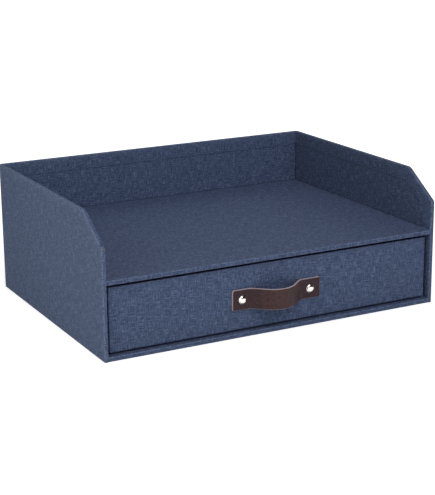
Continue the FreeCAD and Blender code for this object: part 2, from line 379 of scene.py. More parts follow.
def paperPiece(name, faces, outward, thickness, body, node):
    # a sheet of the canvas paper, or of the paper under the box. faces: lists of (point, sheet place,
    # mark of wear and painted shading). outward: the way that the largest face looks, with the paper's back a
    # thickness below it
    bm = bmesh.new()
    sheet = bm.loops.layers.uv.new(sheetMap)
    wear = bm.verts.layers.float.new(wearAndShadingName)
    for corners in faces:
        verts = []
        for point, _, wearShading in corners:
            vert = bm.verts.new(point)
            vert[wear] = wearShading
            verts.append(vert)
        face = bm.faces.new(verts)
        for loop, (_, place, _) in zip(face.loops, corners):
            loop[sheet].uv = place
        face.smooth = True
    bmesh.ops.remove_doubles(bm, verts=bm.verts, dist=mergeWithin)
    bmesh.ops.dissolve_degenerate(bm, edges=bm.edges, dist=shortestEdge)
    bmesh.ops.recalc_face_normals(bm, faces=bm.faces)
    bm.normal_update()
    largest = max(bm.faces, key=lambda face: face.calc_area())
    if largest.normal.dot(Vector(outward)) < 0:
        bmesh.ops.reverse_faces(bm, faces=bm.faces)
    piece = addObject(name, meshOf(name, bm))
    sides = piece.modifiers.new("paper", "SOLIDIFY")
    sides.thickness = thickness
    sides.offset = -1
    sides.use_even_offset = True
    material, slot = (underPaper, "base_paper") if name.endswith("under_paper") else (canvas, "canvas_paper")
    finishPiece(piece, [material], slot, body, node)


def roundedCorner(corner, before, after, radius, inset, share):
    # a point of a rounded convex corner in a plane, its outline moved inwards by inset.
    # before and after point along the outline; the inside is to the right of both
    inwardBefore = Vector((before.y, -before.x))
    inwardAfter = Vector((after.y, -after.x))
    mitre = (inwardBefore + inwardAfter) / (1 + inwardBefore.dot(inwardAfter))
    if inset >= radius:
        return corner + mitre * inset
    outward = -inwardBefore.slerp(inwardAfter, share)
    return corner + mitre * radius + outward * (radius - inset)


def arc(steps):
    return [math.radians(90) * i / steps for i in range(steps + 1)]


def developed(path):
    # lengths along a folded profile, as the flat sheet has them
    lengths = [0]
    for a, b in zip(path, path[1:]):
        lengths.append(lengths[-1] + math.dist(a, b))
    return lengths


def leftOf(path, i):
    # square to a profile at one of its points, to its left
    along = (Vector(path[min(i + 1, len(path) - 1)]) - Vector(path[max(i - 1, 0)])).normalized()
    return Vector((-along.y, along.x))


up, down, rear, fore = Vector((0, 1)), Vector((0, -1)), Vector((1, 0)), Vector((-1, 0))

foldLook = {
    "edgeRadius": 1.0 * mm,     # paper over the edge of a board
    "edgeSteps": 5,
    "paleWidth": 6 * mm,      # how far the pale of wear and painted highlight reaches from an edge onto the face
    "paleShare": 0.3,
    "seamDepth": 0.25 * mm,     # where two flaps of the turned-in paper meet
    "seamWidth": 0.6 * mm,
}
# how a column of a wrapped sheet is grooved: not at all, on its turned-in part,
# or all the way, where the sheet's end lies over its start
plain, mitre, lap = 0, 1, 2


def grooveDepth(seam, share):
    return foldLook["seamDepth"] * (1 if seam == lap else seam * share)


def cornerColumns(steps):
    # the columns round a corner: (share of the turn, slide along the outline, groove)
    gap = foldLook["seamWidth"]
    return [(0, -gap, plain), *((i / steps, 0, mitre) for i in range(steps + 1)), (1, gap, plain)]


# The case's covering, one sheet round the three walls

caseSizes = {
    "cutDepth": 38 * mm,        # the cut-off front corner of the side walls
    "cutHeight": 25 * mm,
    "cornerRadius": 2.2 * mm,   # the outline's blunt corners
    "cornerSteps": 6,
    "lapPlace": 21 * mm,        # the sheet's end on the back, from the right corner
    "turnHeight": 0.1 * mm,     # the covering turns in under the walls, this far above the table
    "turnThickness": 0.2 * mm,
}
cutSlope = Vector((caseSizes["cutDepth"], caseSizes["cutHeight"])).normalized()
cutLow = Vector((wrapLow.y, wrapHigh.z - caseSizes["cutHeight"]))
cutTop = Vector((wrapLow.y + caseSizes["cutDepth"], wrapHigh.z))


def bend(corner, before, after, radius, wear, shares=(0, 0), light=0):
    # rows of a profile that turns square round a corner, from the direction before to after: place,
    # the pale of wear and painted highlight, which adds to light and is most in the middle of the bend, and
    # share of a mitre's groove
    rows = []
    steps = foldLook["edgeSteps"]
    for i, t in enumerate(arc(steps)):
        place = Vector(corner) + (before * (math.sin(t) - 1) + after * (1 - math.cos(t))) * radius
        share = shares[0] + (shares[1] - shares[0]) * i / steps
        rows.append((place, light + wear * math.sin(2 * t), share))
    return rows


def foldRows(wall, fold):
    # over the free edge; places are (depth into the wall, distance in from the edge)
    r, wide, light = foldLook["edgeRadius"], foldLook["paleWidth"], foldLook["paleShare"]
    # pale of wear and painted highlight: none this far in, most on the bends
    rows = [((0, wide), 0, 0)]
    rows += bend((0, 0), down, rear, r, 1 - light, (0, 1), light)
    rows += bend((wall, 0), rear, up, r, 0.5, (1, 1), light)
    return rows + [((wall, wide), 0, 1), ((wall, fold), 0, 1)]


def caseWrap():
    rows = foldRows(caseWall, caseFold)
    path = [row[0] for row in rows]
    lengths = developed(path)
    front, back, low, top = wrapLow.y, wrapHigh.y, wrapLow.z, wrapHigh.z
    width = wrapHigh.x - wrapLow.x
    gap = foldLook["seamWidth"]
    turn = cornerColumns(caseSizes["cornerSteps"])
    mitreRise = (baseHigh.z - low) / caseWall

    def sideX(left, depth):
        return wrapLow.x + depth if left else wrapHigh.x - depth

    def sideColumn(left, corner, before, after, share, slide):
        def place(depth, inset):
            y, z = roundedCorner(corner, before, after, caseSizes["cornerRadius"], inset, share)
            step = (after if share > 0.5 else before) * slide
            return Vector((sideX(left, depth), y + step.x, z + step.y))
        return place

    def backColumn(left, share, slide):
        def place(depth, inset):
            corner = Vector((wrapLow.x, back))
            x, y = roundedCorner(corner, up, rear, foldLook["edgeRadius"], depth, share)
            x, y = (x + slide, y) if share > 0.5 else (x, y + slide)
            return Vector((x if left else wrapLow.x + wrapHigh.x - x, y, top - inset))
        return place

    def footColumn(left, slide):
        # the mitre between the wall's front edge and the base's; without a slide, the sheet's lower edge
        def place(depth, inset):
            z = low if slide is None else max(low, low + depth * mitreRise + slide)
            return Vector((sideX(left, depth), front + inset, z))
        return place

    def sideHalf(left):
        # from the front's foot to the back corner
        columns = [("side", footColumn(left, slide), seam)
                   for slide, seam in ((None, plain), (-gap, plain), (0, mitre), (gap, plain))]
        for corner, before, after in ((cutLow, up, cutSlope), (cutTop, cutSlope, rear)):
            columns += [("side", sideColumn(left, corner, before, after, share, slide), seam)
                        for share, slide, seam in turn]
        columns += [("corner" if seam else "back" if share else "side", backColumn(left, share, slide), seam)
                    for share, slide, seam in turn]
        return columns

    def lapColumn(x, seam):
        return "back", (lambda depth, inset: Vector((x, back - depth, top - inset))), seam

    def sheetPlace(part, left, point):
        # the point's place on the flat sheet, the left wall first, then the back, then the right
        if part == "back":
            return Vector((back + point.x - wrapLow.x, point.z))
        return Vector((point.y if left else 2 * back + width - point.y, point.z))

    def isLeft(point):
        return point.x < (wrapLow.x + wrapHigh.x) / 2

    end = wrapHigh.x - caseSizes["lapPlace"]
    columns = sideHalf(True)
    columns += [lapColumn(end - gap, plain), lapColumn(end, lap), lapColumn(end + gap, plain)]
    columns += sideHalf(False)[::-1]
    points = []
    for part, place, seam in columns:
        line = []
        for i, (at, _, share) in enumerate(rows):
            depth, inset = Vector(at) + leftOf(path, i) * grooveDepth(seam, share)
            line.append(place(depth, inset))
        points.append(line)

    faces = []
    for k in range(len(columns) - 1):
        parts = {columns[k][0], columns[k + 1][0]}
        part = "back" if parts <= {"back", "corner"} and "back" in parts else "side"
        first, second = points[k], points[k + 1]
        left = isLeft(first[0])
        a, b = sheetPlace(part, left, first[0]), sheetPlace(part, left, second[0])
        foot = Vector((0, 1 if left else -1))     # the way up or down the front edge
        along = (b - a).normalized() if (b - a).length > mergeWithin else foot
        out = Vector((-along.y, along.x))

        def corner(line, i):
            q = sheetPlace(part, left, line[i])
            place = along * along.dot(q) + out * (out.dot(a) + lengths[i])
            return line[i], place, rows[i][1]

        for i in range(len(rows) - 1):
            faces.append([corner(first, i), corner(second, i), corner(second, i + 1), corner(first, i + 1)])
        if "side" not in parts:
            feet = [Vector((line[0].x, line[0].y, low)) for line in (first, second)]
            faces.append([(feet[0], Vector((a.x, low)), 0), (feet[1], Vector((b.x, low)), 0),
                          (second[0], b, 0), (first[0], a, 0)])
    for left in (True, False):
        ends = {part: [line[0] for column, line in zip(columns, points)
                       if column[0] == part and isLeft(line[0]) == left]
                for part in ("side", "corner")}
        last = ends["corner"][0 if left else -1]
        outline = ends["side"] + [last] if left else [last] + ends["side"]
        outline.append(Vector((last.x, last.y, low)))
        faces.append([(point, sheetPlace("side", left, point), 0) for point in outline])
    paperPiece("case_canvas_wrap", faces, (0, 1, 0), paper, "case", "case_outer_wrap")


caseWrap()
print("case covering made")


# Sheets that run round an outline: the drawer's covering, its lining, and turned-in edges

def outlineColumns(start, corners, end, radius, steps, endSeam):
    # start and end: (point, direction). corners: (point, direction before, direction after), clockwise.
    # Each column gives a point of the outline at a depth, its wall, its groove
    gap = foldLook["seamWidth"]

    def straight(point, along, wall, seam, slide):
        inward = Vector((along.y, -along.x))
        return (lambda depth: point + inward * depth + along * slide), wall, seam

    def turned(corner, before, after, share, wall, seam, slide):
        step = (after if share > 0.5 else before) * slide
        return (lambda depth: roundedCorner(corner, before, after, radius, depth, share) + step), wall, seam

    columns = [straight(*start, 0, endSeam, 0), straight(*start, 0, plain, gap)]
    for wall, (corner, before, after) in enumerate(corners):
        columns += [turned(corner, before, after, share, wall if share < 0.5 else wall + 1, seam, slide)
                    for share, slide, seam in cornerColumns(steps)]
    last = len(corners)
    return columns + [straight(*end, last, plain, -gap), straight(*end, last, endSeam, 0)]


def wrapOutline(start, corners, end, radius, steps, rows, endSeam=plain, closed=False):
    # rows: ((depth, height), mark of wear and painted shading, share of a mitre's groove). closed adds a flat
    # face within the first row
    columns = outlineColumns(start, corners, end, radius, steps, endSeam)
    path = [row[0] for row in rows]
    lengths = developed(path)
    walls = [(start[0], start[1], 0)]     # where each wall starts, its direction, its place on the sheet
    for corner, before, after in corners:
        begin, along, place = walls[-1]
        walls.append((corner, after, place + (corner - begin).dot(along)))

    def corner(k, i, wall):
        place, _, seam = columns[k]
        depth, height = Vector(path[i]) - leftOf(path, i) * grooveDepth(seam, rows[i][2])
        point = place(depth)
        begin, along, mapPlace = walls[wall]
        return (Vector((point.x, point.y, height)),
                Vector((mapPlace + (point - begin).dot(along), lengths[i])), rows[i][1])

    faces = []
    for k in range(len(columns) - 1):
        wall = columns[k][1]
        for i in range(len(rows) - 1):
            faces.append([corner(k, i, wall), corner(k + 1, i, wall),
                          corner(k + 1, i + 1, wall), corner(k, i + 1, wall)])
    if closed:
        rim = [corner(k, 0, 0)[0] for k in range(len(columns) - 1)]
        faces.append([(point, point.xy, 0) for point in rim])
    return faces


def boxOutline(low, high):
    # clockwise round a box seen from above, from and to a place on its back
    start = (Vector((high.x - drawerSizes["lapPlace"], high.y)), rear)
    corners = [(Vector((high.x, high.y)), rear, down), (Vector((high.x, low.y)), down, fore),
               (Vector((low.x, low.y)), fore, up), (Vector((low.x, high.y)), up, rear)]
    return start, corners, start


drawerSizes = {
    "lowerRadius": 0.6 * mm,     # the covering's lower edge, pressed flatter than the upper one
    "cornerSteps": 6,
    "lapPlace": 17 * mm,         # the sheet's end on the drawer's back, from its right corner
    "sheetRadius": 0.5 * mm,     # the folded edges of the sheet under the drawer
}


def drawerWrap():
    r, low, top = foldLook["edgeRadius"], drawerLow.z, drawerHigh.z
    rows = [((drawerWall, low), 0, 0)]
    # pale of wear and painted highlight on the bends, most on the upper front edge
    rows += bend((0, low), fore, up, drawerSizes["lowerRadius"], 0.5)
    rows += bend((0, top), up, rear, r, 1, (0, 1))
    rows += bend((drawerWall, top), rear, down, r, 0.8, (1, 1))
    rows.append(((drawerWall, top - drawerFold), 0, 1))
    outline = boxOutline(drawerLow, drawerHigh)
    faces = wrapOutline(*outline, r, drawerSizes["cornerSteps"], rows, lap)
    paperPiece("drawer_canvas_wrap", faces, (0, -1, 0), paper, "drawer", "drawer_outer_wrap")


def drawerLining():
    # the lining round the inside of the drawer's walls, its face a little below the covering's
    inside = drawerWall - sheetLook["sunk"]
    # the top row gets the dark line of glue and painted shade
    rows = [((inside, ringLow.z), 0, 0), ((inside, ringHigh.z - sheetLook["edgeWidth"]), 0, 0),
            ((inside, ringHigh.z), -1, 0)]
    outline = boxOutline(drawerLow, drawerHigh)
    faces = wrapOutline(*outline, 0, 1, rows)
    thickness = paper - sheetLook["sunk"]
    paperPiece("drawer_canvas_lining", faces, (0, 1, 0), thickness, "drawer", "drawer_wall_lining")


def drawerUnderSheet():
    low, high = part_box("drawer_base_sheet")
    r = drawerSizes["sheetRadius"]
    rows = bend((0, low.z), fore, up, r, 0) + [((0, high.z), 0, 0)]
    outline = boxOutline(low, high)
    faces = wrapOutline(*outline, r, drawerSizes["cornerSteps"], rows, closed=True)
    paperPiece("drawer_under_paper", faces, (0, 0, -1), paper, "drawer", "drawer_base_sheet")


def caseTurnUnder():
    # the last bit of the case's covering, bent in under the walls as far as the base sheet
    low = caseSizes["turnHeight"]
    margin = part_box("case_base_sheet")[0].x - wrapLow.x
    rows = [((margin, low), 0, 0)] + bend((0, low), fore, up, wrapLow.z - low, 0.5)
    start = (Vector((wrapLow.x + caseWall, wrapLow.y)), fore)
    end = (Vector((wrapHigh.x - caseWall, wrapLow.y)), fore)
    corners = boxOutline(wrapLow, wrapHigh)[1]
    corners = corners[2:] + corners[:2]     # from the front's left corner round to its right
    faces = wrapOutline(start, corners, end, foldLook["edgeRadius"], caseSizes["cornerSteps"], rows)
    paperPiece("case_canvas_turned_under", faces, (0, 0, -1), caseSizes["turnThickness"], "case", None)


# Flat sheets and the papers on the front edges

sheetLook = {
    "sunk": 0.25 * mm,      # a lining's face lies this much below the turned-in covering
    "edgeWidth": 0.9 * mm,  # the dark line of glue and painted shade along its cut edge
    "mapStep": 0.137,       # each sheet is cut from another place of the roll, in metres
}


def insetOutline(outline, width):
    # an outline moved inwards all round; its points run anticlockwise
    inner = []
    for i, point in enumerate(outline):
        before = (point - outline[i - 1]).normalized()
        after = (outline[(i + 1) % len(outline)] - point).normalized()
        inner.append(roundedCorner(point, -after, -before, 0, width, 0))
    return inner


def flatSheet(node, facing, sunk, outline, shift):
    # a sheet as large as its node, its face on the side of the node that looks the way of facing
    low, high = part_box(node)
    facing = Vector(facing)
    above = Vector((0, 0, 1)) if abs(facing.z) < 0.5 else Vector((0, 1, 0))
    across = above.cross(facing)
    level = facing * (max(low.dot(facing), high.dot(facing)) - sunk)
    if outline is None:
        left, right = sorted((low.dot(across), high.dot(across)))
        bottom, top = sorted((low.dot(above), high.dot(above)))
        outline = [(left, bottom), (right, bottom), (right, top), (left, top)]
    outline = [Vector(point) for point in outline]
    inner = insetOutline(outline, sheetLook["edgeWidth"])

    def corner(point, wear):
        return level + across * point.x + above * point.y, point + shift, wear

    faces = [[corner(point, 0) for point in inner]]
    # the ring along the outline gets the dark line of glue and painted shade
    for i in range(len(outline)):
        faces.append([corner(outline[i - 1], -1), corner(outline[i], -1),
                      corner(inner[i], 0), corner(inner[i - 1], 0)])
    name = node.replace("lining", "canvas").replace("base_sheet", "under_paper")
    paperPiece(name, faces, facing, paper - sunk, "drawer" if "drawer" in node else "case", node)


def traySideOutline(side):
    # the lining on a side wall, its free edges parallel to the wall's; side is 1 left, -1 right
    top, foot = wrapHigh.z - caseFold, liningLow.z
    rearEdge = liningHigh.y
    outline = [(wrapLow.y + caseFold, foot), (rearEdge, foot), (rearEdge, top)]
    outline.append(tuple(roundedCorner(cutTop, cutSlope, rear, 0, caseFold, 0)))
    outline.append(tuple(roundedCorner(cutLow, up, cutSlope, 0, caseFold, 0)))
    return [(side * y, z) for y, z in outline[::side]]


def flatSheets():
    sunk, step = sheetLook["sunk"], sheetLook["mapStep"]
    for count, (node, facing, depth, outline) in enumerate((
        ("tray_left_lining", (1, 0, 0), sunk, traySideOutline(1)),
        ("tray_right_lining", (-1, 0, 0), sunk, traySideOutline(-1)),
        ("tray_back_lining", (0, -1, 0), sunk, None),
        ("bay_left_lining", (1, 0, 0), sunk, None),
        ("bay_right_lining", (-1, 0, 0), sunk, None),
        ("bay_back_lining", (0, -1, 0), 0, None),
        ("bay_floor_lining", (0, 0, 1), sunk, None),
        ("bay_ceiling_lining", (0, 0, -1), sunk, None),
        ("case_base_sheet", (0, 0, -1), 0, None),
        ("drawer_floor_lining", (0, 0, 1), 0, None),
    ), 1):
        flatSheet(node, facing, depth, outline, Vector((step, -step)) * count)


def frontEdge(name, node, under, over, lower=0.0):
    # the paper round the front edge of a board, turned back by one length below and another above;
    # lower: how far it reaches below its node
    low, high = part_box(node)
    low = low - Vector((0, 0, lower))
    r = foldLook["edgeRadius"]
    rows = [((low.y + under, low.z), 0, 0)]
    # pale of wear and painted highlight on the bends, most on the upper edge
    rows += bend((low.y, low.z), fore, up, r, 0.6)
    rows += bend((low.y, high.z), up, rear, r, 1)
    rows.append(((low.y + over, high.z), 0, 0))
    lengths = developed([row[0] for row in rows])
    faces = [[
        (Vector((x, *rows[j][0])), Vector((x, high.z + lengths[j])), rows[j][1])
        for x, j in ((low.x, i), (low.x, i + 1), (high.x, i + 1), (high.x, i))
    ] for i in range(len(rows) - 1)]
    paperPiece(name, faces, (0, 0, 1), paper, "case", node)


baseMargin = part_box("case_base_sheet")[0].y - baseLow.y
frontEdge("base_canvas_edge", "case_base_wrap", baseMargin, caseFold, baseLow.z - caseSizes["turnHeight"])
frontEdge("shelf_canvas_cover", "shelf_cover", caseFold, shelfHigh.y - shelfLow.y)
flatSheets()
caseTurnUnder()
drawerWrap()
drawerLining()
drawerUnderSheet()
print("edges, linings and drawer covering made")


# The strap, cut flat and then bent along its arch

strapLook = {
    "crownShift": -1.5 * mm,     # the arch's highest place, a little left of the middle
    "crownRadius": 20 * mm,      # both radii are the middle of the leather's
    "footRadius": 8 * mm,
    "flankAngle": 42,            # degrees from the drawer's front
    "arcStep": 3,                # degrees
    # by end (-1 left) and edge (1 upper)
    "corners": {(-1, 1): 2.3 * mm, (-1, -1): 1.6 * mm, (1, 1): 0.8 * mm, (1, -1): 1.4 * mm},
    "grainBevel": 0.5 * mm,
    "fleshBevel": 0.25 * mm,
    "station": 1.1 * mm,         # spacing of the mesh along the strap
    "across": 14,
    "dimple": 0.7 * mm,          # the leather pressed in round a rivet
    "dimpleWidth": 4.8 * mm,
    "waves": 0.12 * mm,          # uneven thickness of a cut strap
    "waveLength": 14 * mm,
    "endRows": (0, 0.06, 0.16, 0.3, 0.5, 0.8, 1.3, 2.0),     # mm in from an end, closer at the bevel
    "edgeRows": (0, 0.06, 0.16, 0.3, 0.5),                   # mm in from a long edge
    "rimFaces": 3,               # rows of the bevel that show the cut
}
grainSide, cutSide, fleshSide = 0, 1, 2
leatherThickness = strapHigh.y - capsHigh.y
capDiameter = capsHigh.z - capsLow.z
rivetSpacing = capsHigh.x - capsLow.x - capDiameter


def strapPath():
    # the middle of the leather seen from above, left end to right end
    s = strapLook
    foot, crown = s["footRadius"], s["crownRadius"]
    angle = math.radians(s["flankAngle"])
    rise = strapHigh.y - strapLow.y - leatherThickness
    flank = (rise - (foot + crown) * (1 - math.cos(angle))) / math.sin(angle)
    span = (foot + crown) * math.sin(angle) + flank * math.cos(angle)
    turns = [math.radians(t) for t in range(0, s["flankAngle"] + 1, s["arcStep"])]
    half = [(foot * math.sin(t), foot * (1 - math.cos(t))) for t in turns]
    half += [(span - crown * math.sin(t), rise - crown * (1 - math.cos(t))) for t in turns[::-1]]
    middle = (strapLow.x + strapHigh.x) / 2 + s["crownShift"]
    level = strapHigh.y - leatherThickness / 2
    path = [(strapLow.x, level)]
    path += [(middle - span + x, level - out) for x, out in half]
    path += [(middle + span - x, level - out) for x, out in half[-2::-1]]
    path.append((strapHigh.x, level))
    return path


def spread(low, high, margins, count):
    # places from low to high: the margins in from both ends, and even steps between
    inner = high - low - 2 * margins[-1]
    return ([low + m for m in margins] + [low + margins[-1] + inner * i / count for i in range(1, count)]
            + [high - m for m in margins[::-1]])


def flatStrap(length):
    # x along the strap, y from the middle of the leather towards the drawer, z across
    s = strapLook
    half = (strapHigh.z - strapLow.z) / 2
    rivets = [strapHigh.x - capsHigh.x + capDiameter / 2]
    rivets.append(length - rivets[0])

    def cornerAt(x, edge):
        # the radius of the nearer corner on that edge, and the distance to its end of the strap
        return s["corners"][(-1 if x < length / 2 else 1), edge], min(x, length - x)

    def fromEdge(x, z):
        # distance to the strap's outline, with its rounded corners
        r, inX = cornerAt(x, 1 if z > 0 else -1)
        inZ = half - abs(z)
        if inX < r and inZ < r:
            return r - math.hypot(r - inX, r - inZ)
        return min(inX, inZ)

    def halfWidth(x, edge):
        r, inX = cornerAt(x, edge)
        return half - (r - math.sqrt(r * r - (r - inX) ** 2) if inX < r else 0)

    def height(x, z, bevel, side):
        inside = max(0.0, fromEdge(x, z))
        drop = bevel * (1 - math.sqrt(1 - (1 - inside / bevel) ** 2)) if inside < bevel else 0
        level = leatherThickness / 2 - drop
        if side == grainSide:
            for place in rivets:
                level -= s["dimple"] * math.exp(-((math.hypot(x - place, z) / s["dimpleWidth"]) ** 4))
            level -= s["waves"] * 0.5 * (1 + noise.noise(Vector((x, 0, z)) / s["waveLength"]))
            return -level
        return level

    ends, margins = ([place * mm for place in s[rows]] for rows in ("endRows", "edgeRows"))
    stations = spread(0, length, ends, round((length - 2 * ends[-1]) / s["station"]))
    bm = bmesh.new()
    surface = bm.faces.layers.int.new("surface")
    grids = {}
    for side in (grainSide, fleshSide):
        bevel = s["grainBevel"] if side == grainSide else s["fleshBevel"]
        grids[side] = []
        for x in stations:
            zs = spread(-halfWidth(x, -1), halfWidth(x, 1), margins, s["across"])
            grids[side].append([bm.verts.new((x, height(x, z, bevel, side), z)) for z in zs])

    def addFace(verts, kind):
        face = bm.faces.new(verts)
        face[surface] = kind
        face.smooth = True

    last = len(grids[grainSide][0]) - 1
    for side, grid in grids.items():
        for i in range(len(stations) - 1):
            for j in range(last):
                onRim = min(j, last - 1 - j, i, len(stations) - 2 - i) < s["rimFaces"]
                addFace([grid[i][j], grid[i + 1][j], grid[i + 1][j + 1], grid[i][j + 1]],
                        cutSide if onRim and side == grainSide else side)
    rings = [[grid[i][0] for i in range(len(stations))] + grid[-1][1:]
             + [grid[i][last] for i in range(len(stations) - 2, -1, -1)] + grid[0][last - 1:0:-1]
             for grid in grids.values()]
    for k in range(len(rings[0])):
        following = (k + 1) % len(rings[0])
        addFace([rings[0][k], rings[0][following], rings[1][following], rings[1][k]], cutSide)
    bmesh.ops.remove_doubles(bm, verts=bm.verts, dist=mergeWithin)
    bmesh.ops.recalc_face_normals(bm, faces=bm.faces)
    return meshOf("pull_strap_leather", bm)


def newTree(name, inputs):
    # a geometry node tree with named inputs; gives the tree and what comes in
    tree = bpy.data.node_groups.new(name, "GeometryNodeTree")
    tree.interface.new_socket("Geometry", in_out="INPUT", socket_type="NodeSocketGeometry")
    tree.interface.new_socket("Geometry", in_out="OUTPUT", socket_type="NodeSocketGeometry")
    for label, kind in inputs.items():
        tree.interface.new_socket(label, in_out="INPUT", socket_type="NodeSocket" + kind)
    return tree, addNode(tree, "NodeGroupInput").outputs


def addTree(piece, tree, values):
    # puts the tree on a piece, its inputs set by the sockets' identifiers
    modifier = piece.modifiers.new(tree.name, "NODES")
    modifier.node_group = tree
    for item in tree.interface.items_tree:
        if item.in_out == "INPUT" and item.name in values:
            modifier[item.identifier] = values[item.name]


def bendTree():
    # lays a flat strip along a path: x becomes length along it, y depth behind it
    tree, inputs = newTree("bend_along_path", {
        "Path": "Object", "Grain": "Material", "Cut Edge": "Material", "Flesh": "Material",
    })
    route = addNode(tree, "GeometryNodeObjectInfo", {"Object": inputs["Path"]}).outputs["Geometry"]
    curve = addNode(tree, "GeometryNodeMeshToCurve", {"Mesh": route})
    position = addNode(tree, "GeometryNodeInputPosition")
    place = addNode(tree, "ShaderNodeSeparateXYZ", {"Vector": position}).outputs
    sample = addNode(tree, "GeometryNodeSampleCurve", {"Curves": curve, "Length": place["X"]},
                     mode="LENGTH").outputs
    inward = addNode(tree, "ShaderNodeVectorMath", {0: (0, 0, 1), 1: sample["Tangent"]},
                     operation="CROSS_PRODUCT")
    inward = addNode(tree, "ShaderNodeVectorMath", {0: inward}, operation="NORMALIZE")
    sunkIn = addNode(tree, "ShaderNodeVectorMath", {0: inward, "Scale": place["Y"]}, operation="SCALE")
    upright = addNode(tree, "ShaderNodeCombineXYZ", {"Z": place["Z"]})
    bent = sample["Position"]
    for step in (sunkIn, upright):
        bent = addNode(tree, "ShaderNodeVectorMath", {0: bent, 1: step}, operation="ADD")
    shape = addNode(tree, "GeometryNodeSetPosition", {"Geometry": inputs["Geometry"], "Position": bent})
    shape = addNode(tree, "GeometryNodeRealizeInstances", {"Geometry": shape})
    kind = addNode(tree, "GeometryNodeInputNamedAttribute", {"Name": "surface"}, data_type="INT")
    for label, value in (("Grain", grainSide), ("Cut Edge", cutSide), ("Flesh", fleshSide)):
        chosen = addNode(tree, "FunctionNodeCompare", {2: kind, 3: value}, data_type="INT", operation="EQUAL")
        shape = addNode(tree, "GeometryNodeSetMaterial", {
            "Geometry": shape, "Selection": chosen, "Material": inputs[label],
        })
    addNode(tree, "NodeGroupOutput", {"Geometry": shape})
    return tree


def pullStrap():
    path = strapPath()
    length = developed(path)[-1]
    level = (strapLow.z + strapHigh.z) / 2
    route = addObject("strap_route", pointMesh("strap_route", [(x, y, level) for x, y in path]))
    piece = addObject("pull_strap_leather", flatStrap(length))
    addTree(piece, bendTree(), {
        "Path": route, "Grain": leather[0], "Cut Edge": leather[1], "Flesh": leather[2],
    })
    finishPiece(piece, None, "brown_leather", "drawer", "pull_strap")
    bpy.data.objects.remove(route)


pullStrap()
print("strap cut and bent")


# Rivets: turned parts, repeated at both ends of the strap

rivetLook = {
    "turningRadius": 1 * mm,     # the profile is swept round a circle of this radius
    "mergeWithin": 0.01 * mm,
    "segments": 40,
    "capSink": 0.65 * mm,        # the cap's rim sits in the leather's dimple
    "capRim": 0.25 * mm,
    "rimDrop": 0.4,              # share of the rim below the leather's face
    "domeSteps": 12,
    "rimSteps": 4,
    "headRadius": 3.5 * mm,
    "headBevel": 0.25 * mm,
    "postRadius": 1.5 * mm,
    "washerBevel": 0.12 * mm,
}


def turnedTree():
    # turns a profile round an axis, faces it and repeats it in a row
    tree, inputs = newTree("turned_in_a_row", {
        "Turning Radius": "Float", "Segments": "Int", "Merge Within": "Float", "Turn": "Vector",
        "Count": "Int", "First Place": "Vector", "Spacing": "Vector", "Finish": "Material",
    })
    profile = addNode(tree, "GeometryNodeMeshToCurve", {"Mesh": inputs["Geometry"]})
    circle = addNode(tree, "GeometryNodeCurvePrimitiveCircle", {
        "Resolution": inputs["Segments"], "Radius": inputs["Turning Radius"],
    })
    swept = addNode(tree, "GeometryNodeCurveToMesh", {"Curve": circle, "Profile Curve": profile})
    merged = addNode(tree, "GeometryNodeMergeByDistance", {
        "Geometry": swept, "Distance": inputs["Merge Within"],
    })
    turned = addNode(tree, "GeometryNodeTransform", {"Geometry": merged, "Rotation": inputs["Turn"]})
    row = addNode(tree, "GeometryNodeMeshLine", {
        "Count": inputs["Count"], "Start Location": inputs["First Place"], "Offset": inputs["Spacing"],
    })
    repeated = addNode(tree, "GeometryNodeInstanceOnPoints", {"Points": row, "Instance": turned})
    real = addNode(tree, "GeometryNodeRealizeInstances", {"Geometry": repeated})
    finished = addNode(tree, "GeometryNodeSetMaterial", {"Geometry": real, "Material": inputs["Finish"]})
    addNode(tree, "NodeGroupOutput", {"Geometry": finished})
    return tree


def turnedRow(tree, name, node, profile, inwards, seat):
    # profile: (radius, height) from the top's centre round to the foot.
    # inwards: whether its top looks into the box
    start = rivetLook["turningRadius"]
    piece = addObject(name, pointMesh(name, [(radius - start, -height, 0) for radius, height in profile]))
    level = (strapLow.z + strapHigh.z) / 2
    addTree(piece, tree, {
        "Turning Radius": start, "Segments": rivetLook["segments"], "Merge Within": rivetLook["mergeWithin"],
        "Turn": (math.radians(-90 if inwards else 90), 0, 0), "Count": 2,
        "First Place": (-rivetSpacing / 2, seat, level), "Spacing": (rivetSpacing, 0, 0), "Finish": nickel,
    })
    finishPiece(piece, None, "nickel_plate", "drawer", node)


def domeProfile(radius, height, steps):
    ball = (radius ** 2 + height ** 2) / (2 * height)
    widest = math.asin(radius / ball)
    return [(ball * math.sin(widest * i / steps), height - ball * (1 - math.cos(widest * i / steps)))
            for i in range(steps + 1)]


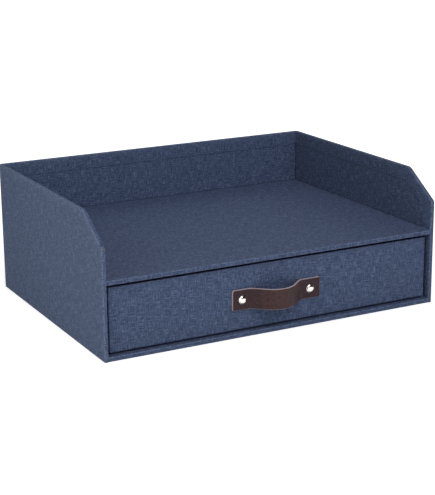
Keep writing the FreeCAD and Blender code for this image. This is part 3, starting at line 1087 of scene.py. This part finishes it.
def rivets():
    r = rivetLook
    tree = turnedTree()
    radius, rim, sink = capDiameter / 2, r["capRim"], r["capSink"]
    cap = domeProfile(radius - rim / 2, capsHigh.y - capsLow.y, r["domeSteps"])[:-1]
    cap += [(radius - rim / 2 * (1 - math.sin(t)), rim * (math.cos(t) - r["rimDrop"]))
            for t in arc(r["rimSteps"])]
    cap += [(radius - rim, -sink), (0, -sink)]
    turnedRow(tree, "rivet_nickel_caps", "rivet_caps", cap, False, capsHigh.y)

    washerLow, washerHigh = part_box("backing_washers")
    radius, thick = (washerHigh.z - washerLow.z) / 2, washerHigh.y - washerLow.y
    hole, bevel = r["postRadius"], r["washerBevel"]
    washer = [(hole, 0), (hole, thick - bevel), (hole + bevel, thick), (radius - bevel, thick),
              (radius, thick - bevel), (radius, 0), (hole, 0)]
    turnedRow(tree, "rivet_nickel_washers", "backing_washers", washer, True, washerLow.y)

    postLow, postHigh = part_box("rivet_posts")
    top, seat = postHigh.y - postLow.y, washerHigh.y - postLow.y
    radius, bevel = r["headRadius"], r["headBevel"]
    head = [(0, top), (radius - bevel, top)]
    head += [(radius - bevel * (1 - math.sin(t)), top - bevel * (1 - math.cos(t)))
             for t in arc(r["rimSteps"])[1:]]
    head += [(radius, seat), (r["postRadius"], seat), (r["postRadius"], 0), (0, 0)]
    turnedRow(tree, "rivet_nickel_posts", "rivet_posts", head, True, postLow.y)


rivets()
print("rivets turned")


# The boards keep their own shapes

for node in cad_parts.values():
    node.data.materials.clear()
    node.data.materials.append(board)


# Floor, light and camera

cameraPlace = {
    "at": Vector((-0.57595, -1.09224, 0.39732)),
    "right": Vector((0.88307, -0.46917, -0.00812)),
    "up": Vector((0.13471, 0.23690, 0.96215)),
    "back": Vector((-0.44948, -0.85074, 0.27241)),
    "focal": 1367.25,           # pixels of the photograph
    "photoLongSide": 495,
    "sensor": 36,               # millimetres
}


def placeCamera():
    c = cameraPlace
    data = bpy.data.cameras.new("camera")
    data.sensor_width = c["sensor"]
    data.lens = c["focal"] * c["sensor"] / c["photoLongSide"]
    turn = Matrix((c["right"], c["up"], c["back"])).transposed()
    camera = addObject("camera", data)
    camera.matrix_world = Matrix.Translation(c["at"]) @ turn.to_4x4()
    bpy.context.scene.camera = camera


floorLook = {
    "halfSize": 6,             # metres
    "below": 0.1 * mm,         # under the base sheet, so that the two faces don't meet
    "white": "#F2F2F2",
    "roughness": 0.9,
    "near": 0.16,              # within this distance the table shows the box's shadow,
    "far": 0.40,               # and from here on it is plain white
    "ownWhite": 0.66,          # plain white near the box, to which the lamps' light is added
}


def rayKind(tree):
    # 1 for what the camera, a mirror or glass sees, 0 for the light that falls on things
    rays = addNode(tree, "ShaderNodeLightPath").outputs
    seen = rays["Is Camera Ray"]
    for kind in ("Is Glossy Ray", "Is Transmission Ray"):
        seen = addNode(tree, "ShaderNodeMath", {0: seen, 1: rays[kind]}, operation="MAXIMUM")
    return seen


def makeFloor():
    # A white laminate table: it bounces the light up, and looks white but for the box's soft shadow.
    look = floorLook
    bm = bmesh.new()
    bmesh.ops.create_grid(bm, x_segments=1, y_segments=1, size=look["halfSize"])
    floor = addObject("floor", meshOf("floor", bm))
    floor.location.z = -look["below"]
    material, tree = newMaterial("white_laminate_table")
    place = addNode(tree, "ShaderNodeTexCoord").outputs["Object"]
    distance = addNode(tree, "ShaderNodeVectorMath", {0: place}, operation="LENGTH").outputs["Value"]
    share = addNode(tree, "ShaderNodeMapRange", {
        "Value": distance, "From Min": look["near"], "From Max": look["far"], "To Min": look["ownWhite"],
    }, interpolation_type="SMOOTHSTEP")
    share = addNode(tree, "ShaderNodeMath", {0: share, 1: rayKind(tree)}, operation="MULTIPLY")
    laminate = addNode(tree, "ShaderNodeBsdfPrincipled", {
        "Base Color": colour(look["white"]), "Roughness": look["roughness"], "Specular IOR Level": 0.0,
    })
    white = addNode(tree, "ShaderNodeEmission", {"Color": colour("#FFFFFF"), "Strength": share})
    both = addNode(tree, "ShaderNodeAddShader", {0: laminate, 1: white})
    addNode(tree, "ShaderNodeOutputMaterial", {"Surface": both})
    floor.data.materials.append(material)


lights = {
    # direction round the box and above the table in degrees, distance and size in metres, watts
    "softbox": {"around": -5, "above": 45, "distance": 2.0, "size": 1.2, "power": 16.9, "tint": "#FDF7FC"},
    "window": {"around": -75, "above": 22, "distance": 0.6, "size": 0.4, "power": 0.96, "tint": "#FFF8EA"},
    "right": {"around": 120, "above": 30, "distance": 1.5, "size": 0.8, "power": 2.94, "tint": "#FFFFFF"},
    "front": {"around": 10, "above": 8, "distance": 2.0, "size": 1.0, "power": 3.0, "tint": "#FFFFFF"},
}
# light that the table throws back up
tableGlow = {"place": Vector((0, -0.30, 0.002)), "size": 0.3, "power": 0.1, "tint": "#FFFFFF"}
roomLight = {"strength": 0.125, "tint": "#DDE9FF"}     # plain light from all round

darkCurtain = {
    # a black curtain in front, on the right, that only shiny things see: the dark side of the rivets'
    # domes. Each edge: direction round the box, lowest and highest direction above the table, in degrees
    "edges": ((-42, 24, 32), (-22, 20, 42), (0, 20, 58), (30, 16, 66), (56, 12, 68), (62, 0, 68),
              (120, 0, 68)),
    "distance": 1.5,
    "colour": "#1A1918",
}


def direction(around, above):
    # from the box's middle, in degrees: 0 is in front, positive to the right and up
    around, above = math.radians(around), math.radians(above)
    return Vector((math.sin(around) * math.cos(above), -math.cos(around) * math.cos(above), math.sin(above)))


def makeDarkCurtain():
    look = darkCurtain
    points = [direction(around, above) * look["distance"]
              for around, *ends in look["edges"] for above in ends]
    faces = [(i, i + 1, i + 3, i + 2) for i in range(0, len(points) - 2, 2)]
    curtain = addObject("dark_curtain", pointMesh("dark_curtain", points, faces))
    for ray in ("camera", "diffuse", "transmission", "shadow"):
        setattr(curtain, "visible_" + ray, False)
    material, tree = newMaterial("black_curtain")
    endMaterial(tree, {"Base Color": colour(look["colour"]), "Roughness": 1.0})
    curtain.data.materials.append(material)


def addLight(name, lamp, place, away):
    # a square lamp that shines against the direction away
    data = bpy.data.lights.new(name, "AREA")
    data.shape = "SQUARE"
    data.size = lamp["size"]
    data.energy = lamp["power"]
    data.color = colour(lamp["tint"])[:3]
    light = addObject(name, data)
    light.matrix_world = Matrix.Translation(place) @ away.to_track_quat("Z", "Y").to_matrix().to_4x4()
    light.visible_camera = False
    return light


def placeLights():
    for name, lamp in lights.items():
        away = direction(lamp["around"], lamp["above"])
        addLight(name, lamp, away * lamp["distance"], away)
    glow = addLight("table_glow", tableGlow, tableGlow["place"], Vector((0, 0, -1)))
    glow.visible_glossy = False


def makeWorld():
    world = bpy.data.worlds.new("studio")
    bpy.context.scene.world = world
    tree = emptyTree(world)
    dim = addNode(tree, "ShaderNodeBackground", {
        "Color": colour(roomLight["tint"]), "Strength": roomLight["strength"],
    })
    white = addNode(tree, "ShaderNodeBackground", {"Color": colour("#FFFFFF"), "Strength": 1.0})
    mixed = addNode(tree, "ShaderNodeMixShader", {0: rayKind(tree), 1: dim, 2: white})
    addNode(tree, "ShaderNodeOutputWorld", {"Surface": mixed})


placeCamera()
makeFloor()
makeDarkCurtain()
placeLights()
makeWorld()
bpy.context.scene.view_settings.view_transform = "Standard"
print("floor, light and camera placed")
